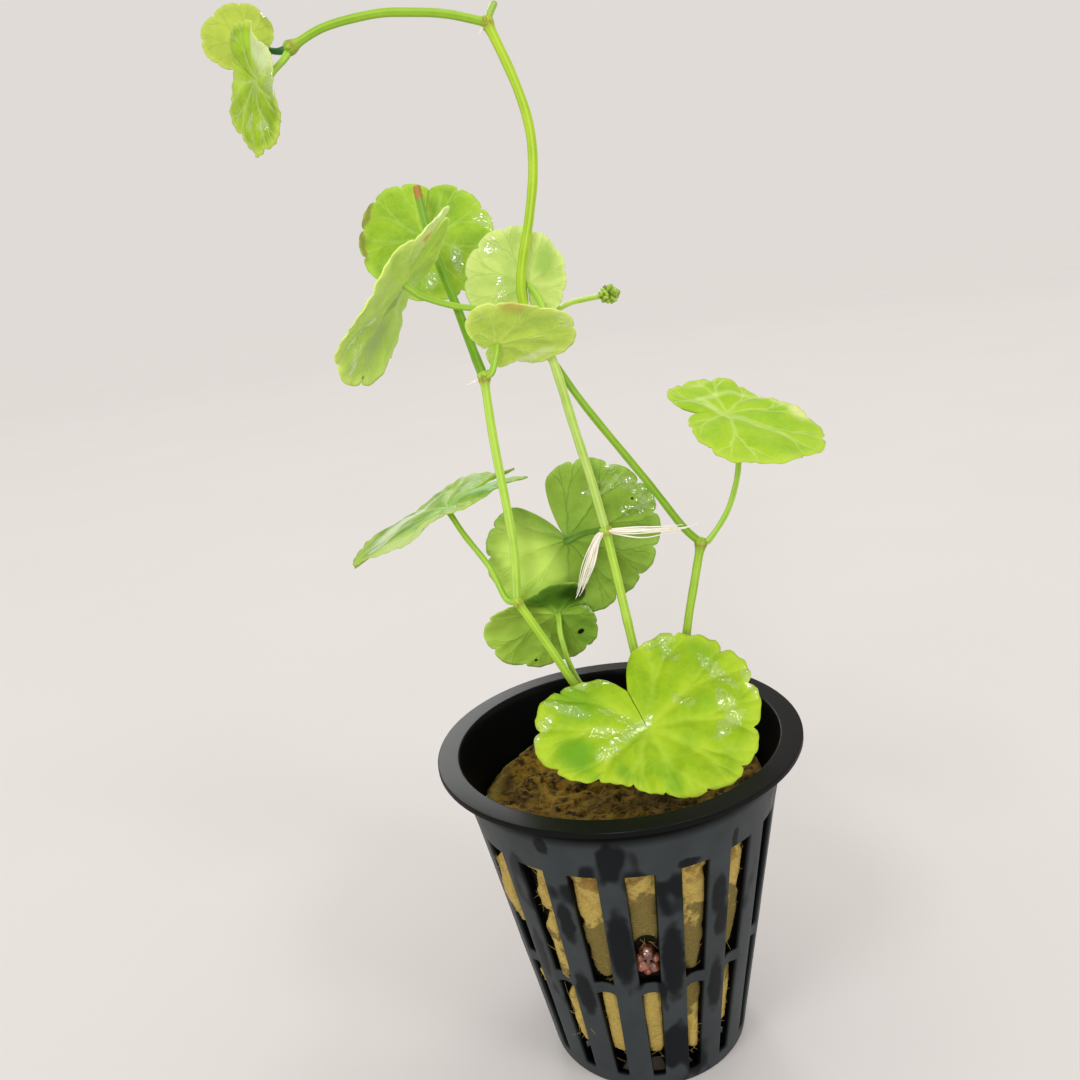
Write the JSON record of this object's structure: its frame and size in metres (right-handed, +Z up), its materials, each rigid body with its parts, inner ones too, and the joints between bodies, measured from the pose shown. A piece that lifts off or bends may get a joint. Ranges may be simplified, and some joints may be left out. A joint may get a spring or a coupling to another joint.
{
  "type": "brazilian pennywort",
  "caption": "Round-leaved aquarium stem plant growing from a rock wool plug in a black slotted net pot.",
  "frame": {"origin": "middle of the net pot's underside, on the surface that the pot stands on", "axes": "+Z up along the pot's axis, -Y towards the viewer of the picture, +X to the viewer's right"},
  "size_m": [0.0855, 0.0658, 0.1659],
  "materials": {
    "pot_plastic": "satin",
    "rock_wool": "matte",
    "feed_bead": "gloss",
    "stem_green": "satin",
    "stem_olive": "satin",
    "leaf_bright": "satin",
    "leaf_mid": "satin",
    "leaf_dark": "satin",
    "leaf_pale": "satin",
    "root_cream": "matte",
    "bud_green": "matte"
  },
  "bodies": {
    "root": {"bud_stalk": "stem_green", "feed_beads": "feed_bead", "flower_bud": "bud_green", "leaf_centre_small": "leaf_pale", "leaf_left_arched": "leaf_mid", "leaf_left_hanging": "leaf_pale", "leaf_low_dark": "leaf_dark", "leaf_mid_back": "leaf_mid", "leaf_pot_mouth": "leaf_bright", "leaf_right_parasol": "leaf_bright", "leaf_tip_hanging": "leaf_mid", "leaf_tip_round": "leaf_pale", "leaf_top_back": "leaf_bright", "leaf_top_pale": "leaf_pale", "net_pot": "pot_plastic", "petiole_centre_small": "stem_green", "petiole_left_arched": "stem_green", "petiole_left_hanging": "stem_green", "petiole_low_dark": "stem_green", "petiole_mid_back": "stem_green", "petiole_pot_mouth": "stem_green", "petiole_right_parasol": "stem_green", "petiole_tip_hanging": "stem_green", "petiole_tip_round": "stem_green", "petiole_top_back": "stem_green", "petiole_top_pale": "stem_green", "rock_wool": "rock_wool", "root_hairs_left": "root_cream", "root_hairs_runner": "root_cream", "root_wisp_centre": "root_cream", "roots_centre": "root_cream", "runner_arch": "stem_green", "runner_rise": "stem_green", "runner_stub": "stem_green", "stem_centre_lower": "stem_green", "stem_centre_upper": "stem_green", "stem_left_lower": "stem_green", "stem_left_upper": "stem_green", "stem_left_withered": "stem_green", "stem_right_lower": "stem_olive", "stem_right_upper": "stem_olive"}
  },
  "joints": []
}
